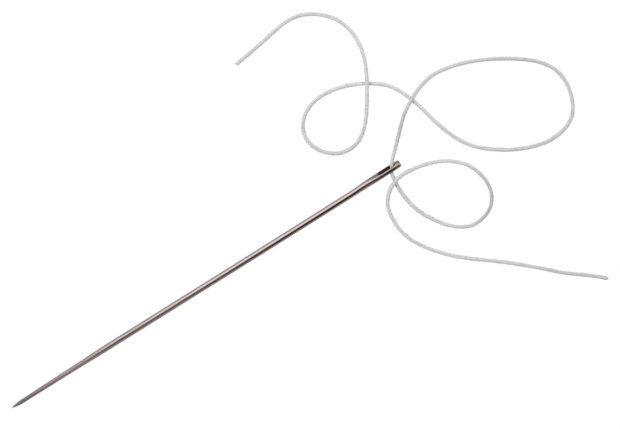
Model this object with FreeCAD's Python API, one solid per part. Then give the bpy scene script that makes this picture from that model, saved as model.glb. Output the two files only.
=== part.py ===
# A long-eyed sewing needle with one thread through its eye, lying on a table.
# Millimetres, +Z up. The needle lies along X with its eye towards +X, and the origin is on the table
# under the middle of its length.
import FreeCAD, Part
import os
from math import sin, cos, tan, pi, radians

V = FreeCAD.Vector

# The needle: one piece of steel wire, ground to a point, with a head pressed flatter and wider
needle_length = 60.0
shank_dia = 0.85
point_round = 0.02          # radius left on the very tip
point_half_angle = 16.0     # degrees, at the tip
point_base_dia = 0.54       # where the short point meets the long taper
taper_half_angle = 0.60     # degrees
taper_length = 9.0
shoulder_length = 4.2       # the taper runs out into the straight shank over this length
head_length = 8.6           # from where the shank starts to change to the rounded end
head_width = 1.08           # across both rails of the eye
head_thickness = 0.76       # through the eye
head_end_round = 0.24       # edge round on the blunt end
press_start = 0.16          # the wire turns from round to flat between these shares of the head's length
press_end = 0.74
end_draw = 0.28             # share of that change which is lost again as the head draws in to its end
head_set = 0.17             # a used needle's head stands this far off the shank's line, along the eye
set_start = 0.14            # it bends away between these shares of the head's length
set_end = 0.84
head_steps = 8              # stretches between the sections that the head is drawn through
head_roll = 50.0            # degrees that the eye's axis leans from upright, as the needle lies

# The eye: a slot punched through the head, with rounded mouths and a gutter leading into each
thread_dia = 0.46
eye_clearance = 0.015       # each side of the thread
eye_length = 2.50
eye_end_wall = 0.70         # solid steel between the slot and the head's end
eye_mouth_round = 0.09
gutter_length = 1.30        # in front of the slot, on the shank's side
gutter_depth = 0.13         # at the slot's edge
gutter_inset = 0.005        # the gutter is this much narrower than the slot on each side

# The thread: where it passes the eye, and how it lies on the table
thread_seat = 0.68          # from the slot's middle towards the head's end
thread_lean = 32.1          # degrees that it slants from square across the needle, seen from above
thread_rise = 0.32          # its top bend is this far above the eye's middle
crossing_gap = 0.05         # between two strands where one lies over the other
bend_share = 0.45           # how much of the shorter run beside a corner its bend takes up

shank_radius = shank_dia / 2
tip_x = -needle_length / 2
end_x = needle_length / 2
head_x = end_x - head_length
eye_width = thread_dia + 2 * eye_clearance
gutter_radius = eye_width / 2 - gutter_inset
eye_x = end_x - eye_end_wall - eye_length / 2

# The needle's own directions
roll = radians(head_roll)
ALONG = V(1, 0, 0)
THROUGH = V(0, sin(roll), cos(roll))        # the eye's axis, out of its upper mouth
ACROSS = V(0, cos(roll), -sin(roll))        # from the eye to its far rail


def axis_point(x, lift=0.0):
    """A point on the needle's line at x, moved along the eye's axis by lift."""
    return V(x, 0, shank_radius) + THROUGH * lift


def ground_profile():
    """Half outline of the point, taper, shoulder and shank, in the XZ plane about z = 0."""
    grind, slope = radians(point_half_angle), radians(taper_half_angle)
    # the point's flank is one arc that leaves the tip at the grinding angle and runs into the taper
    start = V(tip_x + point_round * (1 - sin(grind)), 0, point_round * cos(grind))
    flank = (point_base_dia / 2 - start.z) / (cos(slope) - cos(grind))
    middle = (grind + slope) / 2
    flank_mid = start + V(flank * (sin(grind) - sin(middle)), 0, flank * (cos(middle) - cos(grind)))
    base = start + V(flank * (sin(grind) - sin(slope)), 0, flank * (cos(slope) - cos(grind)))
    nose_turn = radians(90) - grind
    nose_mid = V(tip_x + point_round * (1 - cos(nose_turn / 2)), 0, point_round * sin(nose_turn / 2))
    taper_end = base + V(taper_length, 0, taper_length * tan(slope))
    pull = shoulder_length / 3
    shank_start = V(taper_end.x + shoulder_length, 0, shank_radius)
    shoulder = Part.BezierCurve()
    shoulder.setPoles([taper_end, taper_end + V(pull, 0, pull * tan(slope)),
                       shank_start - V(pull, 0, 0), shank_start])
    return [
        Part.Arc(V(tip_x, 0, 0), nose_mid, start).toShape(),
        Part.Arc(start, flank_mid, base).toShape(),
        Part.LineSegment(base, taper_end).toShape(),
        shoulder.toShape(),
        Part.LineSegment(shank_start, V(head_x, 0, shank_radius)).toShape(),
        Part.LineSegment(V(head_x, 0, shank_radius), V(head_x, 0, 0)).toShape(),
        Part.LineSegment(V(head_x, 0, 0), V(tip_x, 0, 0)).toShape(),
    ]


def turned_body():
    """The wire from its point to where the head begins, turned about its own line."""
    face = Part.Face(Part.Wire(ground_profile()))
    body = face.revolve(V(0, 0, 0), ALONG, 360)
    body.translate(V(0, 0, shank_radius))
    return body


def eased(share, start, end):
    """0 before start and 1 after end, with a smooth rise between them."""
    part = min(max((share - start) / (end - start), 0), 1)
    return part * part * (3 - 2 * part)


def pressed(share):
    """How far the wire has gone from round to flat at a share of the head's length: 0 at the shank, 1 at
    the eye, and a little less where the head draws in to its end."""
    drawn = end_draw * max(0, (share - press_end) / (1 - press_end)) ** 3
    return eased(share, press_start, press_end) - drawn


def head_middle(share):
    """The head's centre at a share of its length, which bends off the shank's line."""
    return axis_point(head_x + share * head_length, head_set * eased(share, set_start, set_end))


def half_thickness(share):
    return shank_radius + (head_thickness / 2 - shank_radius) * pressed(share)


def head_section(share):
    """An oval across the head at a share of its length."""
    half_width = shank_radius + (head_width / 2 - shank_radius) * pressed(share)
    oval = Part.Ellipse(V(0, 0, 0), half_width, half_thickness(share)).toShape()
    turned = FreeCAD.Rotation(ACROSS, THROUGH, ALONG, "XYZ")
    oval.Placement = FreeCAD.Placement(head_middle(share), turned)
    return Part.Wire(oval)


def pressed_head():
    """The wire pressed wider and thinner over the eye, drawn in a little at its blunt, rounded end."""
    sections = [head_section(step / head_steps) for step in range(head_steps + 1)]
    head = Part.makeLoft(sections, True, False)
    far_end = max(head.Faces, key=lambda face: face.CenterOfMass.x)
    return head.makeFillet(head_end_round, far_end.Edges)


def slot_cutter(width, length, depth):
    """A round-ended slot, centred on the eye and standing along the eye's axis."""
    middle = axis_point(eye_x, head_set)
    reach = (length - width) / 2
    side = width / 2
    low = middle - THROUGH * depth / 2
    corners = [low + ALONG * i * reach + ACROSS * j * side for i, j in ((-1, 1), (1, 1), (1, -1), (-1, -1))]
    ends = [low + ALONG * (reach + side), low - ALONG * (reach + side)]
    outline = Part.Wire([
        Part.LineSegment(corners[0], corners[1]).toShape(),
        Part.Arc(corners[1], ends[0], corners[2]).toShape(),
        Part.LineSegment(corners[2], corners[3]).toShape(),
        Part.Arc(corners[3], ends[1], corners[0]).toShape(),
    ])
    return Part.Face(outline).extrude(THROUGH * depth)


def gutter_cutter(side):
    """A round bar laid at a slant, so that its groove deepens from nothing to gutter_depth at the slot.
    side is 1 for the upper face and -1 for the lower."""
    slot_share = (eye_x - eye_length / 2 - head_x) / head_length
    start_share = slot_share - gutter_length / head_length
    start_lift = side * (half_thickness(start_share) + gutter_radius)
    slot_lift = side * (half_thickness(slot_share) + gutter_radius - gutter_depth)
    start = head_middle(start_share) + THROUGH * start_lift
    run = head_middle(slot_share) + THROUGH * slot_lift - start
    return Part.makeCylinder(gutter_radius, run.Length + eye_length / 2, start, run)


def mouth_edges(body):
    """The edges where the slot's flat walls and round ends come out of the head."""
    walls = []
    for face in body.Faces:
        surface = face.Surface
        if isinstance(surface, Part.Cylinder) and surface.Axis.cross(THROUGH).Length < 0.001:
            walls.append(face)
        if isinstance(surface, Part.Plane) and surface.Axis.cross(ACROSS).Length < 0.001:
            walls.append(face)
    edges = [edge for wall in walls for edge in wall.Edges]
    return [edge for edge in edges if sum(edge.isSame(other) for other in edges) == 1]


def make_needle():
    """Point, shank and head as one solid, with the eye cut, its mouths rounded and a gutter run into each."""
    body = turned_body().fuse(pressed_head()).removeSplitter()
    body = body.cut(slot_cutter(eye_width, eye_length, 3 * head_thickness))
    rail = (head_width - eye_width) / 2
    body = body.makeFillet(min(eye_mouth_round, rail / 2), mouth_edges(body))
    for side in (1, -1):
        body = body.cut(gutter_cutter(side))
    return body.Solids[0]


# The thread lies at this height on the table, and at this height where it lies over itself
lie = thread_dia / 2
over = lie + thread_dia + crossing_gap

# Straight through the eye: a corner above the head and one on the table below it
lean = radians(thread_lean)
seat = axis_point(eye_x + thread_seat, head_set)
slope = cos(lean) / tan(roll)
upward = V(sin(lean), cos(lean), slope)
above_eye = seat + upward * (thread_rise / slope)
below_eye = seat - upward * ((seat.z - lie) / slope)

# The corners of the thread's route, from the end that lies beyond the first loop to the other end
thread_route = [
    V(18.8, 22.4, lie), V(22.0, 22.8, lie), V(28.4, 24.0, lie), V(32.1, 21.85, lie), V(33.95, 18.5, lie),
    V(33.6, 14.1, over), V(30.3, 8.55, over),
    V(27.9, 5.7, lie), V(25.4, 4.9, lie), V(22.9, 5.8, lie), V(21.15, 8.3, lie), V(21.55, 10.95, lie),
    V(23.8, 12.8, lie), V(27.2, 13.1, lie), V(31.6, 11.6, lie), V(35.4, 8.5, lie), V(37.55, -1.5, lie),
    V(42.0, -5.7, lie), V(47.1, -7.9, lie), V(51.0, -7.7, lie), V(53.3, -5.8, lie), V(54.3, -1.9, lie),
    V(53.0, 1.4, lie), V(48.6, 4.7, lie), V(43.6, 7.05, lie),
    V(38.8, 7.8, over), V(34.4, 5.7, over),
    V(32.5, 4.0, lie), V(30.6, 2.1, 0.50), V(29.55, 1.2, 0.86), above_eye, below_eye,
    V(28.25, -0.95, lie), V(28.15, -2.1, lie), V(28.1, -3.6, lie), V(28.6, -6.6, lie), V(30.8, -10.1, lie),
    V(33.3, -11.95, lie), V(35.7, -11.8, lie), V(37.3, -10.9, lie), V(38.3, -9.3, lie), V(38.3, -6.9, lie),
    V(37.3, -4.4, lie), V(34.3, -2.1, lie),
    V(29.1, -1.1, over), V(26.45, -2.45, over),
    V(25.3, -4.4, lie), V(25.3, -8.1, lie), V(27.1, -11.4, lie), V(30.25, -14.75, lie), V(34.6, -18.0, lie),
    V(38.3, -21.3, lie), V(40.5, -23.5, lie), V(43.35, -25.6, lie), V(44.95, -27.05, lie),
]


def rounded_path(points):
    """Straight runs joined by tangent arcs, each as large as its two runs allow. Gives the wire and the
    arcs' radii."""
    edges, radii = [], []
    here = points[0]
    for before, corner, after in zip(points, points[1:], points[2:]):
        back, onward = before - corner, after - corner
        half_turn = (radians(180) - back.getAngle(onward)) / 2
        setback = bend_share * min(back.Length, onward.Length)
        radius = setback / tan(half_turn)
        back.normalize()
        onward.normalize()
        inward = (back + onward).normalize()
        start, end = corner + back * setback, corner + onward * setback
        middle = corner + inward * (radius / cos(half_turn) - radius)
        edges.append(Part.LineSegment(here, start).toShape())
        edges.append(Part.Arc(start, middle, end).toShape())
        radii.append(radius)
        here = end
    edges.append(Part.LineSegment(here, points[-1]).toShape())
    return Part.Wire(edges), radii


def make_thread():
    """The thread as a round rod that follows the whole route, square across at both ends."""
    path, radii = rounded_path(thread_route)
    first_run = thread_route[1] - thread_route[0]
    outline = Part.Wire(Part.Circle(thread_route[0], first_run, thread_dia / 2).toShape())
    tube = path.makePipeShell([outline], True, False)
    print("thread length", round(path.Length, 2), "tightest radii in diameters",
          [round(radius / thread_dia, 1) for radius in sorted(radii)[:6]])
    section = pi * thread_dia ** 2 / 4
    print("thread volume over section times length", round(tube.Volume / (section * path.Length), 4))
    return tube


os.makedirs("parts", exist_ok=True)
for name, shape in (("needle", make_needle()), ("thread", make_thread())):
    print(name, "valid", shape.isValid(), "solids", len(shape.Solids), "volume", round(shape.Volume, 3))
    shape.exportStep("parts/" + name + ".step")
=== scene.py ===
from math import asin, cos, pi, radians, sin, tan

import bmesh
import bpy
import numpy as np
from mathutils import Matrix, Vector


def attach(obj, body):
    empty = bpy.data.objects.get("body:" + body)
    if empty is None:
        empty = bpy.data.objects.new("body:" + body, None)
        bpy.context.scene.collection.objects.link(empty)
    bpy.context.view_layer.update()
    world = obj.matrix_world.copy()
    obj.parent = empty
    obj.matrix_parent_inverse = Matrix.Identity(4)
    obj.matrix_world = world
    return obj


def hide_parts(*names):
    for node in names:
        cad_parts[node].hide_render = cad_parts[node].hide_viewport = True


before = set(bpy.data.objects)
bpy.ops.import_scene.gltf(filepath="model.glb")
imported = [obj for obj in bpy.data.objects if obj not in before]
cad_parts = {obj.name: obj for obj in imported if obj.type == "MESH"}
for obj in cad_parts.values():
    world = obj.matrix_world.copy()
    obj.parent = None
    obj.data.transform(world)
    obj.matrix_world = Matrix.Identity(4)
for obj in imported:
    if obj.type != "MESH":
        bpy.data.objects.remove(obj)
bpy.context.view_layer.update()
scene = bpy.context.scene
mm = 0.001

# The view: straight down on a table, turned so that the needle's point is at the lower left of the
# picture and its eye at the upper right.
picture_middle = (16.47 * mm, 0.64 * mm)
picture_width = 81.01 * mm
picture_level = 0.4 * mm        # height at which the picture has that width
view_turn = radians(-32.1)
lens = 200.0
sensor = 36.0
standoff = picture_width * lens / sensor

camera_data = bpy.data.cameras.new("camera")
camera_data.lens = lens
camera_data.sensor_width = sensor
camera_data.clip_start = 0.02
camera_data.clip_end = 20.0
camera = bpy.data.objects.new("camera", camera_data)
camera.location = (*picture_middle, picture_level + standoff)
camera.rotation_euler = (0, 0, view_turn)
scene.collection.objects.link(camera)
scene.camera = camera
scene.view_settings.view_transform = "Standard"


# The thread: one length of white cotton, three plies twisted together. It goes once through the eye and
# lies in loose loops on the table, with both cut ends free.
thread_route = np.array([
    (18.80, 22.40, 0.23), (22.00, 22.80, 0.23), (28.40, 24.00, 0.23), (32.10, 21.85, 0.23),
    (33.95, 18.50, 0.23), (33.60, 14.10, 0.74), (30.30, 8.55, 0.74), (27.90, 5.70, 0.23),
    (25.40, 4.90, 0.23), (22.90, 5.80, 0.23), (21.15, 8.30, 0.23), (21.55, 10.95, 0.23),
    (23.80, 12.80, 0.23), (27.20, 13.10, 0.23), (31.60, 11.60, 0.23), (35.40, 8.50, 0.23),
    (37.55, -1.50, 0.23), (42.00, -5.70, 0.23), (47.10, -7.90, 0.23), (51.00, -7.70, 0.23),
    (53.30, -5.80, 0.23), (54.30, -1.90, 0.23), (53.00, 1.40, 0.23), (48.60, 4.70, 0.23),
    (43.60, 7.05, 0.23), (38.80, 7.80, 0.74), (34.40, 5.70, 0.74), (32.50, 4.00, 0.23),
    (30.60, 2.10, 0.50), (29.55, 1.20, 0.86), (28.97, 0.51, 0.854), (28.50, -0.23, 0.23),
    (28.25, -0.95, 0.23), (28.15, -2.10, 0.23), (28.10, -3.60, 0.23), (28.60, -6.60, 0.23),
    (30.80, -10.10, 0.23), (33.30, -11.95, 0.23), (35.70, -11.80, 0.23), (37.30, -10.90, 0.23),
    (38.30, -9.30, 0.23), (38.30, -6.90, 0.23), (37.30, -4.40, 0.23), (34.30, -2.10, 0.23),
    (29.10, -1.10, 0.78), (26.45, -2.45, 0.78), (25.30, -4.40, 0.23), (25.30, -8.10, 0.23),
    (27.10, -11.40, 0.23), (30.25, -14.75, 0.23), (34.60, -18.00, 0.23), (38.30, -21.30, 0.23),
    (40.50, -23.50, 0.23), (43.35, -25.60, 0.23), (44.95, -27.05, 0.23),
]) * mm

route_data = bpy.data.curves.new("thread_route", "CURVE")
route_data.dimensions = "3D"
route_data.resolution_u = 32
spline = route_data.splines.new("NURBS")
spline.points.add(len(thread_route) - 1)
spline.points.foreach_set("co", np.c_[thread_route, np.ones(len(thread_route))].ravel())
spline.order_u = 3
spline.use_endpoint_u = True
route_object = bpy.data.objects.new("thread_route", route_data)
scene.collection.objects.link(route_object)
route_mesh = bpy.data.meshes.new_from_object(route_object)
route_line = np.empty(3 * len(route_mesh.vertices))
route_mesh.vertices.foreach_get("co", route_line)
bpy.data.objects.remove(route_object)
bpy.data.meshes.remove(route_mesh)


def run_along(line):
    """Length run so far at each point of a line."""
    return np.r_[0, np.cumsum(np.linalg.norm(np.diff(line, axis=0), axis=1))]


def between(places, known, line):
    """Points of a line at the given places, each coordinate read between the known places."""
    return np.stack([np.interp(places, known, line[:, axis]) for axis in range(3)], axis=-1)


def unit(vectors):
    return vectors / np.linalg.norm(vectors, axis=-1, keepdims=True)


def ring_quads(rows, columns, first=0):
    """Corner numbers of a grid's quads, row by row, where the last column joins the first again."""
    row, column = np.meshgrid(np.arange(rows - 1), np.arange(columns), indexing="ij")
    beside = (column + 1) % columns
    quads = np.stack([row * columns + column, row * columns + beside,
                      (row + 1) * columns + beside, (row + 1) * columns + column], axis=-1)
    return first + quads.reshape(-1, 4)


def closed_piece(name, points, quads, weld, corner_uv=None, marks=None):
    """A smooth object from points and quads. Points nearer than weld become one, and faces turn out.
    marks gives named values, one for each point."""
    mesh = bpy.data.meshes.new(name)
    mesh.from_pydata(points.reshape(-1, 3), [], quads)
    if corner_uv is not None:
        mesh.uv_layers.new(name="plies").data.foreach_set("uv", corner_uv.ravel())
    for mark, values in (marks or {}).items():
        mesh.attributes.new(mark, "FLOAT", "POINT").data.foreach_set("value", values.ravel())
    shell = bmesh.new()
    shell.from_mesh(mesh)
    bmesh.ops.remove_doubles(shell, verts=shell.verts, dist=weld)
    bmesh.ops.dissolve_degenerate(shell, edges=shell.edges, dist=weld / 10)
    bmesh.ops.recalc_face_normals(shell, faces=shell.faces)
    shell.to_mesh(mesh)
    shell.free()
    mesh.shade_smooth()
    piece = bpy.data.objects.new(name, mesh)
    scene.collection.objects.link(piece)
    return piece


class Shade:
    """A shader socket on which sums can be written: each adds a Math node. Every other node comes from
    its node method."""

    def __init__(self, tree, socket=None):
        self.tree = tree
        self.socket = socket

    def node(self, kind, settings=None, inputs=None, out=0):
        """Adds a node, sets its settings, then gives its inputs by name or number a value or a link."""
        new = self.tree.nodes.new(kind)
        for name, value in (settings or {}).items():
            setattr(new, name, value)
        for name, value in (inputs or {}).items():
            if isinstance(value, Shade):
                self.tree.links.new(value.socket, new.inputs[name])
            else:
                new.inputs[name].default_value = value
        return Shade(self.tree, new.outputs[out] if len(new.outputs) else None)

    def maths(self, operation, first, second=0.0, third=0.0):
        return self.node("ShaderNodeMath", {"operation": operation}, {0: first, 1: second, 2: third})

    def __add__(self, other):
        return self.maths("ADD", self, other)

    __radd__ = __add__

    def __sub__(self, other):
        return self.maths("SUBTRACT", self, other)

    def __rsub__(self, other):
        return self.maths("SUBTRACT", other, self)

    def __mul__(self, other):
        return self.maths("MULTIPLY", self, other)

    __rmul__ = __mul__

    def __pow__(self, other):
        return self.maths("POWER", self, other)


def shader_start(owner):
    """Clears a material's or world's nodes and gives a Shade to build with."""
    owner.use_nodes = True
    owner.node_tree.nodes.clear()
    return Shade(owner.node_tree)


def colour_mix(make, share, first, second):
    """The colour that is first where share is 0 and second where it is 1."""
    return make.node("ShaderNodeMix", {"data_type": "RGBA"}, {0: share, 6: first, 7: second}, out=2)


ply_count = 3
ply_radius = 0.184 * mm         # the plies press into each other, so their rounds overlap
ply_offset = 0.062 * mm         # from the thread's middle to each ply's middle
ply_columns = 8                 # facets from one groove to the next
groove_turn = radians(60) + asin(ply_offset / ply_radius * sin(radians(60)))
lay_length = 1.45 * mm          # one whole turn of the twist
ring_step = 0.07 * mm
twist_drift = 0.9               # radians by which the twist runs ahead or behind
drift_waves = (3.1 * mm, 7.3 * mm)
slub_height = 0.04              # share by which a ply is now thicker, now thinner
slub_waves = (1.7 * mm, 4.9 * mm)
end_round = 0.14 * mm           # a cut end closes in a soft round
end_swell = 0.22                # and opens a little where the twist is let go
swell_length = 0.55 * mm
eye_middle = np.array((28.05, 0.13, 0.534)) * mm
eye_squeeze = 0.14              # the eye presses the thread thinner
squeeze_length = 0.90 * mm
# Unevenness along the thread: middle and reach in millimetres, how much fuller the thread is there from
# uneven spinning, and how much greyer its colour is made there.
uneven = (
    (20, 8, 0.05, -0.10), (37, 6, 0.07, 0.03), (56, 7, 0.06, -0.20), (78, 10, 0.03, 0.12),
    (97, 7, 0.03, 0.17), (117, 3, 0.00, 0.32), (126, 4, 0.12, 0.03), (141, 4, -0.04, 0.44),
    (150, 5, -0.02, -0.12), (158, 5, 0.10, -0.02), (188, 7, 0.00, 0.23),
)

route_line = route_line.reshape(-1, 3)
route_places = run_along(route_line)
thread_length = route_places[-1]
cap = end_round * (1 - np.cos(np.linspace(0, pi / 2, 8)))[:-1]
body = np.linspace(end_round, thread_length - end_round, round(thread_length / ring_step))
places = np.concatenate([cap, body, thread_length - cap[::-1]])
path = between(places, route_places, route_line)
eye_place = places[np.argmin(np.linalg.norm(path - eye_middle, axis=1))]
forward = unit(np.gradient(path, places, axis=0))
aside = unit(np.cross((0, 0, 1), forward))
upward = np.cross(forward, aside)
from_end = np.minimum(places, thread_length - places)
drift = twist_drift * np.sin(places / drift_waves[0]) * np.sin(places / drift_waves[1] + 1)
twist = 2 * pi * places / lay_length + drift
fullness = (1 + end_swell * np.exp(-(from_end / swell_length) ** 2)
            - eye_squeeze * np.exp(-((places - eye_place) / squeeze_length) ** 2))
greyed = np.zeros(len(places))
for middle, reach, fuller, greyer in uneven:
    swell = np.exp(-((places / mm - middle) / reach) ** 2)
    fullness += fuller * swell
    greyed += greyer * swell


def twisted_skin():
    """The skin of three plies pressed together. Round ply k it is the arc (offset + r cos a, r sin a),
    with a from groove to groove, and the whole section turns by 2 pi s / lay as it goes along the
    length s. Uneven spinning adds a slow drift to the turn and slow swells to each ply, both ends close
    in a round, and the table flattens what would reach below it."""
    ply, column = np.divmod(np.arange(ply_count * ply_columns), ply_columns)
    swing = (2 * column / ply_columns - 1) * groove_turn
    out = ply_offset + ply_radius * np.cos(swing)
    across = ply_radius * np.sin(swing)
    angle = np.arctan2(across, out) + ply * 2 * pi / ply_count + twist[:, None]
    along = places[:, None]
    slub = np.sin(along / slub_waves[0] + 2.1 * ply) * np.sin(along / slub_waves[1] + ply)
    slub = slub_height * slub * np.cos(swing / groove_turn * pi / 2)
    closing = np.sqrt(1 - np.clip(1 - from_end / end_round, 0, 1) ** 2)
    radius = np.hypot(out, across) * (1 + slub) * (fullness * closing)[:, None]
    points = (path[:, None] + (radius * np.cos(angle))[..., None] * aside[:, None]
              + (radius * np.sin(angle))[..., None] * upward[:, None])
    points[..., 2] = np.maximum(points[..., 2], 0)
    return points


def skin_uv():
    """Along the thread in millimetres, and round it in plies, so that a whole number is a groove."""
    row, column = np.meshgrid(np.arange(len(places) - 1), np.arange(ply_count * ply_columns), indexing="ij")
    along = places[np.stack([row, row, row + 1, row + 1], axis=-1)] / mm
    round_plies = np.stack([column, column + 1, column + 1, column], axis=-1) / ply_columns
    return np.stack([along, round_plies], axis=-1)


skin_quads = ring_quads(len(places), ply_count * ply_columns)
skin_greyed = np.repeat(greyed, ply_count * ply_columns)
thread = closed_piece("thread_plies", twisted_skin(), skin_quads, weld=1e-8, corner_uv=skin_uv(),
                      marks={"greyed": skin_greyed})

# The thread's loose fibres: cotton hairs that stand out of the twist along its length, and a short tuft
# of them where each end was cut.
fibre_count = 800
fibre_points = 9
fibre_radius = 0.009 * mm
fibre_lengths = (0.35, 1.50)    # millimetres, as are the lifts
fibre_lifts = (0.03, 0.20)
fibre_bends = (1.2, 3.0)
fibre_wander = 1.6              # radians round the thread
fibre_base = 0.19 * mm          # height over the thread's middle at which a fibre leaves the twist
fibre_ends = (0.1 * mm, 1.7 * mm)       # the first and the last start, from the thread's two ends
eye_gap = 2.2 * mm              # a fibre whose middle is this near the eye
eye_skip = 5.0 * mm             # is put this much further along
tuft_count = 45                 # fibres that stand out of each cut end
tuft_lengths = (0.18, 0.36)     # millimetres, as is the spread
tuft_spread = 0.10
tuft_seat = 0.17 * mm
tuft_root = 0.15 * mm           # how deep in the end they start
chance = np.random.default_rng(11)


def stray_lines():
    """Middle lines of fibres that stand out of the twist. Each runs on along the thread for its own
    length, wandering round it, while its height over the thread's middle follows base + lift sin(bend t)
    with t from 0 to 1. None starts where the thread is in the eye."""
    t = np.linspace(0, 1, fibre_points)
    length = chance.uniform(*fibre_lengths, (fibre_count, 1)) * mm
    start = chance.uniform(fibre_ends[0], thread_length - fibre_ends[1], (fibre_count, 1))
    start = np.where(np.abs(start + length / 2 - eye_place) < eye_gap, start + eye_skip, start)
    lift = chance.uniform(*fibre_lifts, (fibre_count, 1)) * mm
    bend = chance.uniform(*fibre_bends, (fibre_count, 1))
    wander = chance.uniform(-fibre_wander, fibre_wander, (fibre_count, 1))
    angle = chance.uniform(0, 2 * pi, (fibre_count, 1)) + wander * t
    place = start + length * t
    height = fibre_base + lift * np.sin(bend * t)
    beside, over = [between(place, places, way) for way in (aside, upward)]
    out = np.cos(angle)[..., None] * beside + np.sin(angle)[..., None] * over
    return between(place, route_places, route_line) + height[..., None] * out


def tuft_lines(end, onward):
    """Middle lines of the fibres at a cut end: from a disc in the end they run onward by their own
    length and spread as t squared."""
    t = np.linspace(0, 1, fibre_points)[:, None]
    turn = chance.uniform(0, 2 * pi, (tuft_count, 1, 1))
    seat = tuft_seat * np.sqrt(chance.uniform(0, 1, (tuft_count, 1, 1)))
    length = chance.uniform(*tuft_lengths, (tuft_count, 1, 1)) * mm
    spread = chance.uniform(0.0, tuft_spread, (tuft_count, 1, 1)) * mm
    out = np.cos(turn) * aside[end] + np.sin(turn) * upward[end]
    return path[end] + onward * (length * t - tuft_root) + (seat + spread * t ** 2) * out


def fibre_skin(lines):
    """A thin tube of three sides on each line, narrowing to nothing at both ends as
    (1 - (2 t - 1)^4)^0.5, and laid on the table where it would reach below."""
    ahead = unit(np.gradient(lines, axis=1))
    left = unit(np.cross(ahead, (0.3, 0.2, 1.0)))
    above = np.cross(left, ahead)
    swing = np.arange(3)[:, None] * 2 * pi / 3
    t = np.linspace(0, 1, fibre_points)
    narrow = fibre_radius * np.sqrt(1 - (2 * t - 1) ** 4)
    ring = np.cos(swing) * left[:, :, None] + np.sin(swing) * above[:, :, None]
    points = lines[:, :, None] + narrow[:, None, None] * ring
    points[..., 2] = np.maximum(points[..., 2], 0)
    return points


fibre_lines = np.concatenate([stray_lines(), tuft_lines(0, -forward[0]), tuft_lines(-1, forward[-1])])
fibre_firsts = np.arange(len(fibre_lines))[:, None, None] * fibre_points * 3
fibre_quads = (fibre_firsts + ring_quads(fibre_points, 3)).reshape(-1, 4)
fibres = closed_piece("thread_fibres", fibre_skin(fibre_lines), fibre_quads, weld=1e-8)

cotton_light = (0.91, 0.93, 0.935, 1)
cotton_grey = (0.465, 0.478, 0.485, 1)
# The next grey is painted shade, for the grooves between the plies.
groove_shade_grey = (0.652, 0.665, 0.67, 1)
grey_share = 0.27               # of the grey in clean thread
slub_share = 0.11               # and how much slubs add to it
groove_shade_share = 0.4

cotton = bpy.data.materials.new("cotton_thread")
make = shader_start(cotton)
uv = make.node("ShaderNodeUVMap", {"uv_map": "plies"})
along = make.node("ShaderNodeSeparateXYZ", None, {0: uv}, out=0)
round_plies = make.node("ShaderNodeSeparateXYZ", None, {0: uv}, out=1)
fibre_place = make.node("ShaderNodeCombineXYZ", None, {
    0: along * 2.2, 1: round_plies * 24.0 + along * 9.0})
strands = make.node("ShaderNodeTexNoise", None, {"Vector": fibre_place, "Scale": 1.0, "Detail": 4.0})
slub_place = make.node("ShaderNodeCombineXYZ", None, {0: along * 0.35})
slubs = make.node("ShaderNodeTexNoise", None, {"Vector": slub_place, "Scale": 1.0, "Detail": 2.0})
# Painted shade in the grooves between the plies, with the strands' own streaks mixed in.
groove = make.maths("ABSOLUTE", make.maths("FRACT", round_plies) - 0.5) * 2.0
groove_shade_and_strands = make.maths("SMOOTH_MIN", groove ** 4.0 + (0.5 - strands) * 0.6, 1.0, 0.2)
greyer_here = make.node("ShaderNodeAttribute", {"attribute_name": "greyed"}, out="Fac")
cotton_white = colour_mix(make, grey_share + slub_share * slubs + greyer_here, cotton_light, cotton_grey)
cotton_colour = colour_mix(make, groove_shade_and_strands * groove_shade_share, cotton_white, groove_shade_grey)
bump = make.node("ShaderNodeBump", None, {"Strength": 0.5, "Distance": 0.03 * mm, "Height": strands})
surface = make.node("ShaderNodeBsdfPrincipled", None, {
    "Base Color": cotton_colour, "Roughness": 0.85, "Sheen Weight": 0.25, "Sheen Roughness": 0.5,
    "Specular IOR Level": 0.3, "Normal": bump})
make.node("ShaderNodeOutputMaterial", None, {"Surface": surface})
for piece in (thread, fibres):
    piece.data.materials.append(cotton)
    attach(piece, "root")
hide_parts("thread")


# The needle: one piece of steel wire, ground to a point, with a head pressed flatter and wider. A slot
# is punched through the head, its mouths are rounded, and a gutter leads into each. Nickel plated.
needle_length = 60.0 * mm
shank_dia = 0.85 * mm
point_round = 0.02 * mm
grind = radians(16.0)           # slope of the flank at the tip
point_base_dia = 0.54 * mm
slope = radians(0.60)           # slope of the long taper
taper_length = 9.0 * mm
shoulder_length = 4.2 * mm
head_length = 8.6 * mm
head_width = 1.12 * mm
head_thickness = 0.78 * mm
head_end_round = 0.24 * mm
press_start = 0.20              # shares of the head's length
press_end = 0.74
end_draw = 0.28                 # share of the pressing that is lost again at the head's end
press_square = 0.18             # how much squarer the pressed section is
hump_height = 0.085 * mm        # the upper face swells this much in front of the gutter
hump_middle = 24.7 * mm
hump_reach = 1.5 * mm
head_set = 0.14 * mm            # how far the head stands off the shank's line, along the eye
set_start = 0.14
set_end = 0.84
head_roll = radians(50.0)       # how far the eye's axis leans from upright
wave_height = 0.017 * mm        # a used needle isn't quite straight
wave_length = 48.0 * mm
wave_start = 26.7 * mm          # from the tip
point_bend = 0.065 * mm
bend_length = 16.0 * mm
eye_width = 0.49 * mm
eye_length = 2.50 * mm
eye_end_wall = 0.70 * mm
eye_mouth_round = 0.09 * mm
gutter_length = 1.30 * mm
gutter_depth = 0.13 * mm
gutter_radius = 0.24 * mm
gutter_edge = 0.02 * mm         # how softly the gutter runs out into the face

shank_radius = shank_dia / 2
tip_x = -needle_length / 2
end_x = needle_length / 2
head_x = end_x - head_length
eye_x = end_x - eye_end_wall - eye_length / 2
gutter_x = eye_x - eye_length / 2 - gutter_length


def eased(place, start, end):
    """0 before start and 1 after end, with 3 p^2 - 2 p^3 between them."""
    part = np.clip((place - start) / (end - start), 0, 1)
    return part ** 2 * (3 - 2 * part)


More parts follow.
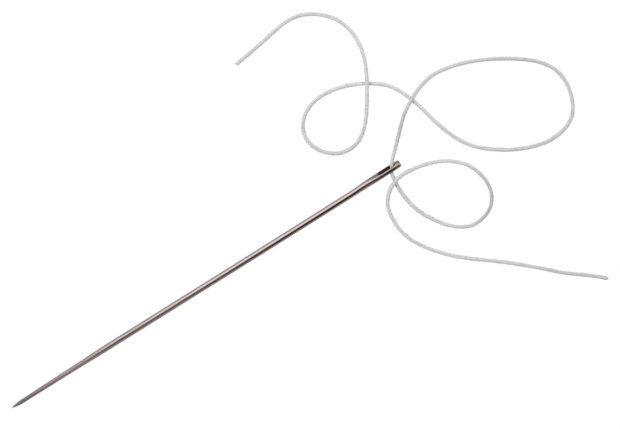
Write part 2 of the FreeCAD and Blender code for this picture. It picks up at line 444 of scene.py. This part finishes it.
def wire_radius(x):
    """Half thickness of the ground wire: the tip's round, a flank that is one arc from the grinding
    angle to the taper, the straight taper, and a cubic shoulder up to the shank."""
    run = x - tip_x
    nose_run = point_round * (1 - sin(grind))
    nose_radius = point_round * cos(grind)
    flank = (point_base_dia / 2 - nose_radius) / (cos(slope) - cos(grind))
    base_run = nose_run + flank * (sin(grind) - sin(slope))
    taper_run = base_run + taper_length
    taper_radius = point_base_dia / 2 + taper_length * tan(slope)
    nose = np.sqrt(np.clip(point_round ** 2 - (point_round - run) ** 2, 0, None))
    lean = np.clip(sin(grind) - (run - nose_run) / flank, sin(slope), sin(grind))
    side = nose_radius + flank * (np.sqrt(1 - lean ** 2) - cos(grind))
    taper = point_base_dia / 2 + (run - base_run) * tan(slope)
    t = np.clip((run - taper_run) / shoulder_length, 0, 1)
    pull = taper_radius + shoulder_length / 3 * tan(slope)
    shoulder = (taper_radius * (1 - t) ** 3 + 3 * pull * (1 - t) ** 2 * t
                + 3 * shank_radius * (1 - t) * t ** 2 + shank_radius * t ** 3)
    return np.select([run < nose_run, run < base_run, run < taper_run], [nose, side, taper], shoulder)


def pressing(x):
    """How far the head is pressed: 0 on the shank, 1 at the eye, and a little less at the end."""
    share = (x - head_x) / head_length
    drawn = end_draw * np.clip((share - press_end) / (1 - press_end), 0, None) ** 3
    return eased(share, press_start, press_end) - drawn


def hump(x):
    """How far the upper face swells out before the gutter: a bell curve, exp(-p^2)."""
    return hump_height * np.exp(-((x - hump_middle) / hump_reach) ** 2)


def rounding(x):
    """The power of the oval's cosine and sine: 1 gives a round section, and less a squarer one."""
    return 1 - press_square * pressing(x)


def outside(x, turn):
    """The needle's outer face, in its own directions: along, across towards the far rail, and through
    the eye. It is an oval of half width a and half thickness b at the angle turn, (a cos^n, b sin^n),
    less the gutters: round grooves whose floor falls along x, joined to the face by a smooth minimum."""
    pressed = pressing(x)
    from_end = np.clip((x - (end_x - head_end_round)) / head_end_round, 0, 1)
    inset = head_end_round * (1 - np.sqrt(1 - from_end ** 2))
    half_width = wire_radius(x) + (head_width / 2 - shank_radius) * pressed - inset
    half_thickness = wire_radius(x) + (head_thickness / 2 - shank_radius) * pressed - inset + hump(x) / 2
    across = half_width * np.sign(np.cos(turn)) * np.abs(np.cos(turn)) ** rounding(x)
    through = half_thickness * np.sign(np.sin(turn)) * np.abs(np.sin(turn)) ** rounding(x)
    fall = gutter_depth * (x - gutter_x) / gutter_length
    bar = gutter_radius - np.sqrt(np.clip(gutter_radius ** 2 - across ** 2, 0, None))
    outside_bar = (np.abs(across) > gutter_radius) | (x > eye_x)
    floor = np.where(outside_bar, 1.0, half_thickness - fall + bar)
    face = np.abs(through)
    blend = np.clip(0.5 + 0.5 * (floor - face) / gutter_edge, 0, 1)
    face = floor + (face - floor) * blend - gutter_edge * blend * (1 - blend)
    return np.stack([x + 0 * turn, across, np.sign(np.sin(turn)) * face], axis=-1)


def placed(points):
    """Turns the needle's own directions into the frame's, rolled by head_roll, with the head lifted off
    the shank's line. A used needle isn't quite straight: its line waves as a sine, once from the tip to
    the head, and the point bends away as a parabola."""
    run = points[..., 0] - tip_x
    wave = wave_height * np.sin(2 * pi * np.clip((run - wave_start) / wave_length, None, 0.5))
    bend = point_bend * np.clip(1 - run / bend_length, 0, None) ** 2
    share = (points[..., 0] - head_x) / head_length
    through = points[..., 2] + head_set * eased(share, set_start, set_end) + hump(points[..., 0]) / 2
    return np.stack([
        points[..., 0],
        points[..., 1] * cos(head_roll) + through * sin(head_roll) - wave - bend,
        shank_radius - points[..., 1] * sin(head_roll) + through * cos(head_roll),
    ], axis=-1)


around_count = 128
side_count = around_count // 2
panel_start = eye_x - eye_length / 2 - 0.35 * mm    # the eye's panel, from here
panel_end = end_x - 0.40 * mm                       # to here, carries the slot

nose_turns = np.linspace(0, pi / 2 - grind, 7)
flank_end = tip_x + 2.0 * mm
shank_rows = np.concatenate([
    tip_x + point_round * (1 - np.cos(nose_turns)),
    tip_x + point_round * (1 - sin(grind)) + np.linspace(0.03, 1, 40) ** 1.6 * (flank_end - tip_x),
    np.linspace(flank_end, head_x, 61)[1:],
    np.linspace(head_x, gutter_x, 25)[1:],
    np.linspace(gutter_x, panel_start, 45)[1:],
])
ring_turns = np.arange(around_count) * 2 * pi / around_count
shank_grid = outside(shank_rows[:, None], ring_turns[None, :])

end_turns = np.linspace(0, pi / 2, 9)
end_rows = np.concatenate([
    np.linspace(panel_end, end_x - head_end_round, 5),
    end_x - head_end_round + head_end_round * np.sin(end_turns)[1:],
])
end_grid = outside(end_rows[:, None], ring_turns[None, :])
flat_shares = np.array([0.8, 0.6, 0.4, 0.2, 0.0])[:, None, None]
end_flat = end_grid[-1] * np.array([0, 1, 1]) * flat_shares + np.array([end_x, 0, 0])
end_grid = np.concatenate([end_grid, end_flat])


def slot_edge(offset):
    """The slot's outline grown by offset, as places along and across, and its outward directions. It
    runs round from the far rail over the point's end, the near rail and the head's end."""
    reach = (eye_length - eye_width) / 2
    swing = np.linspace(0, pi, side_count, endpoint=False)
    straight = np.linspace(-reach, reach, side_count, endpoint=False)
    zero = np.zeros(side_count)
    radius = eye_width / 2 + offset
    beyond = reach + radius * np.sin(swing)
    x = np.concatenate([-beyond, straight, beyond, -straight])
    across = np.concatenate([radius * np.cos(swing), zero - radius, -radius * np.cos(swing), zero + radius])
    out_x = np.concatenate([-np.sin(swing), zero, np.sin(swing), zero])
    out_across = np.concatenate([np.cos(swing), zero - 1, -np.cos(swing), zero + 1])
    return eye_x + x, across, out_x, out_across


def turn_at(x, across):
    """The angle at which the oval of the head is as far across as that."""
    part = across / (shank_radius + (head_width / 2 - shank_radius) * pressing(x))
    return np.arccos(np.sign(part) * np.abs(part) ** (1 / rounding(x)))


def mouth_side(face):
    """One face of the eye's panel (1 upper, -1 lower): rows from the panel's outline in to the slot, then
    over the rounded lip into the slot. The lip is a quadratic Bezier arc from the face's own slope to
    the slot's wall."""
    turn_over = np.linspace(0, pi, side_count, endpoint=False)
    level = np.linspace(panel_start, panel_end, side_count, endpoint=False)
    zero = np.zeros(side_count)
    back = panel_start + panel_end - level
    border_x = np.concatenate([zero + panel_start, level, zero + panel_end, back])
    border_turn = np.concatenate([turn_over, zero + pi, pi - turn_over, zero])
    lip_x, lip_across, out_x, out_across = slot_edge(eye_mouth_round)
    wall_x, wall_across, _, _ = slot_edge(0.0)
    lip_turn = turn_at(lip_x, lip_across)
    inward = (1 - np.linspace(0, 1, 30)[:, None]) ** 1.5
    rows_x = lip_x + (border_x - lip_x) * inward
    rows_turn = lip_turn + (border_turn - lip_turn) * inward
    panel = outside(rows_x, face * rows_turn)
    lip = panel[-1]
    nudge = 0.004 * mm
    beyond_turn = turn_at(lip_x + nudge * out_x, lip_across + nudge * out_across)
    beyond = outside(lip_x + nudge * out_x, face * beyond_turn)
    lip_slope = (beyond[:, 2] - lip[:, 2]) / nudge
    top = np.stack([wall_x, wall_across, lip[:, 2] - lip_slope * eye_mouth_round], axis=-1)
    foot = top - np.array([0, 0, face * eye_mouth_round])
    t = np.linspace(0, 1, 9)[1:, None, None]
    arc = lip * (1 - t) ** 2 + 2 * top * (1 - t) * t + foot * t ** 2
    return np.concatenate([panel, arc])


upper = mouth_side(1)
lower = mouth_side(-1)[::-1]
t = np.linspace(0, 1, 8)[1:-1, None, None]
eye_grid = np.concatenate([upper, upper[-1] * (1 - t) + lower[0] * t, lower])
# Soot and painted shade: the slot's walls and lips, and the rails beside them, are coloured dark. This is
# partly residue of the punching and partly painted shade where the slot and rails lie in shade.
soot_and_shade_from = 23                 # rows in from the panel's outline
soot_and_shade_over = 6                  # rows from clean to sooty and shaded
near_lip = np.clip((np.arange(len(upper)) - soot_and_shade_from) / soot_and_shade_over, 0, 1)
soot_and_shade_rows = np.concatenate([near_lip, np.ones(len(t)), near_lip[::-1]])
soot_and_shade_shares = np.repeat([0.8, 1.0, 0.1, 0.75], side_count)    # point's end, near rail, head's end, far rail
soot_and_shade = np.concatenate([
    np.zeros(shank_grid.shape[0] * around_count),
    np.outer(soot_and_shade_rows, soot_and_shade_shares).ravel(),
    np.zeros(end_grid.shape[0] * around_count),
])

grids = [shank_grid, eye_grid, end_grid]
needle_points = np.concatenate([placed(grid).reshape(-1, 3) for grid in grids])
firsts = np.cumsum([0] + [grid.shape[0] * grid.shape[1] for grid in grids])
needle_quads = np.concatenate([ring_quads(grid.shape[0], grid.shape[1], first)
                               for grid, first in zip(grids, firsts)])
needle = closed_piece("needle_steel", needle_points, needle_quads, weld=2e-8, marks={"soot_and_shade": soot_and_shade})


def fade(value, dark_at, light_at, curve="SMOOTHSTEP"):
    """0 where the value is dark_at and 1 where it is light_at, eased between them."""
    return value.node("ShaderNodeMapRange", {"interpolation_type": curve}, {
        "Value": value, "From Min": dark_at, "From Max": light_at})


steel_light = (0.42, 0.370, 0.358, 1)
steel_dark = (0.36, 0.312, 0.302, 1)
ground_colour = (0.435, 0.360, 0.365, 1)
tip_colour = (0.20, 0.175, 0.17, 1)
# The next colour darkens the steel over the head.
head_dark_colour = (0.27, 0.235, 0.225, 1)
# The next colour is soot and painted shade for the slot and its rails.
soot_and_shade_colour = (0.095, 0.050, 0.043, 1)
edge_tint = (0.5, 0.45, 0.44, 1)
# Each zone gives the places along the needle where its mark is nothing and where it is full.
ground_zone = (tip_x + 15.0 * mm, tip_x + 10.0 * mm)
dull_zone = (12.0 * mm, tip_x + 15.0 * mm)
dark_tip_zone = (tip_x + 8.0 * mm, tip_x)
head_dark_zone = (24.6 * mm, 26.6 * mm)
worn_end_zone = (28.9 * mm, 29.4 * mm)
polish = 0.10                   # roughness of the clean shank

steel = bpy.data.materials.new("needle_steel")
make = shader_start(steel)
spot = make.node("ShaderNodeTexCoord", out="Object")
drawn_lines = make.node("ShaderNodeMapping", None, {"Vector": spot, "Scale": (0.02, 1.0, 1.0)})
lines = make.node("ShaderNodeTexNoise", None, {"Vector": drawn_lines, "Scale": 26000.0, "Detail": 3.0})
clouds = make.node("ShaderNodeTexNoise", None, {"Vector": spot, "Scale": 900.0, "Detail": 3.0})
along = make.node("ShaderNodeSeparateXYZ", None, {0: spot}, out=0)
ground = fade(along, *ground_zone)
dull = fade(along, *dull_zone)
dark_tip = fade(along, *dark_tip_zone, curve="LINEAR")
head_dark = fade(along, *head_dark_zone)
worn_end = fade(along, *worn_end_zone)
slot_soot_and_shade = make.node("ShaderNodeAttribute", {"attribute_name": "soot_and_shade"}, out="Fac")
# The steel is coloured darker over the head in cloudy patches, and less so at the very end, which dims its
# reflections there.
head_darkened = head_dark * (0.7 + 0.5 * clouds) * (1 - 0.85 * worn_end)
steel_colour = colour_mix(make, clouds * 0.5 + lines * 0.3, steel_light, steel_dark)
steel_colour = colour_mix(make, ground, steel_colour, ground_colour)
steel_colour = colour_mix(make, dark_tip * 0.85, steel_colour, tip_colour)
steel_colour = colour_mix(make, head_darkened, steel_colour, head_dark_colour)
# Soot and painted shade in the slot and on its rails.
steel_colour = colour_mix(make, slot_soot_and_shade, steel_colour, soot_and_shade_colour)
wear = 0.13 * dull + 0.22 * ground + 0.35 * slot_soot_and_shade + 0.15 * worn_end
steel_rough = polish + 0.08 * clouds + 0.04 * lines + wear
bump = make.node("ShaderNodeBump", None, {"Strength": 0.25, "Distance": 0.002 * mm, "Height": lines})
surface = make.node("ShaderNodeBsdfPrincipled", None, {
    "Base Color": steel_colour, "Metallic": 1.0, "Specular Tint": edge_tint, "Roughness": steel_rough,
    "Normal": bump})
make.node("ShaderNodeOutputMaterial", None, {"Surface": surface})
needle.data.materials.append(steel)

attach(needle, "root")
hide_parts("needle")


# The studio: a white table, a long soft lamp whose reflection runs along the needle's upper flank, and a
# soft lamp beyond each end. The room is dim on the near side, which gives the dark flank, and a small dim
# card lightens that flank a little by the point.
table_size = 6.0
table_data = bpy.data.meshes.new("table")
half_table = table_size / 2
table_corners = [(-half_table, -half_table, 0), (half_table, -half_table, 0),
                 (half_table, half_table, 0), (-half_table, half_table, 0)]
table_data.from_pydata(table_corners, [], [(0, 1, 2, 3)])
table = bpy.data.objects.new("table", table_data)
scene.collection.objects.link(table)


def in_view(make):
    """1 for what the camera sees straight or through glass, and 0 for light that falls or is mirrored."""
    return make.node("ShaderNodeLightPath", out="Is Camera Ray") + make.node(
        "ShaderNodeLightPath", out="Is Transmission Ray")


table_white = bpy.data.materials.new("table_white")
make = shader_start(table_white)
in_metal = make.node("ShaderNodeLightPath", out="Is Glossy Ray")
board = make.node("ShaderNodeBsdfDiffuse", None, {"Color": (0.66, 0.66, 0.66, 1)})
white = make.node("ShaderNodeEmission", None, {"Color": (1, 1, 1, 1), "Strength": 1.08})
glowing = in_view(make) * 0.88 + in_metal * 0.40
surface = make.node("ShaderNodeMixShader", None, {0: glowing, 1: board, 2: white})
make.node("ShaderNodeOutputMaterial", None, {"Surface": surface})
table_white.cycles.emission_sampling = "NONE"     # the table isn't one of the lamps
table_data.materials.append(table_white)


def soft_lamp(name, tilt, towards, distance, long_side, short_side, watts):
    """A rectangular lamp above the table that looks at the needle's middle. tilt is its angle from
    straight up, towards its bearing from +X."""
    lamp_data = bpy.data.lights.new(name, "AREA")
    lamp_data.shape = "RECTANGLE"
    lamp_data.size = long_side
    lamp_data.size_y = short_side
    lamp_data.energy = watts
    lamp = bpy.data.objects.new(name, lamp_data)
    away = Vector((sin(tilt) * cos(towards), sin(tilt) * sin(towards), cos(tilt)))
    lamp.location = away * distance
    lamp.rotation_euler = away.to_track_quat("Z", "X").to_euler()
    scene.collection.objects.link(lamp)
    return lamp


soft_lamp("long_lamp", radians(36), radians(90), distance=0.60, long_side=0.80, short_side=0.26, watts=0.95)
for name, towards in (("eye_end_lamp", radians(0)), ("point_end_lamp", radians(180))):
    soft_lamp(name, radians(52), towards, distance=0.70, long_side=0.36, short_side=0.36, watts=1.90)
soft_lamp("near_card", radians(50), radians(-112), distance=0.08, long_side=0.06, short_side=0.06,
          watts=0.0016)

dim_level = 0.04                # the room's light from the near side
far_level = 0.41                # what the far side adds
card_level = 0.45               # and the near side towards the point
horizon_level = 0.75            # all round, low down

room = bpy.data.worlds.new("room")
make = shader_start(room)
direction = make.node("ShaderNodeTexCoord", out="Generated")
endways = make.node("ShaderNodeSeparateXYZ", None, {0: direction}, out=0)
sideways = make.node("ShaderNodeSeparateXYZ", None, {0: direction}, out=1)
height = make.node("ShaderNodeSeparateXYZ", None, {0: direction}, out=2)
far_side = fade(sideways, -0.10, 0.60)
card = fade(endways, 0.0, -0.12) * fade(sideways, -0.30, -0.80)
near_horizon = fade(height, 0.30, 0.02)
level = dim_level + far_level * far_side + card_level * card
level = level + (horizon_level - level) * near_horizon
strength = level + (1.0 - level) * in_view(make)
warmth = make.maths("SMOOTH_MIN", strength * 2.0, 1.0, 0.2)
tint = colour_mix(make, warmth, (1.0, 0.66, 0.62, 1), (1, 1, 1, 1))
glow = make.node("ShaderNodeBackground", None, {"Color": tint, "Strength": strength})
make.node("ShaderNodeOutputWorld", None, {"Surface": glow})
scene.world = room
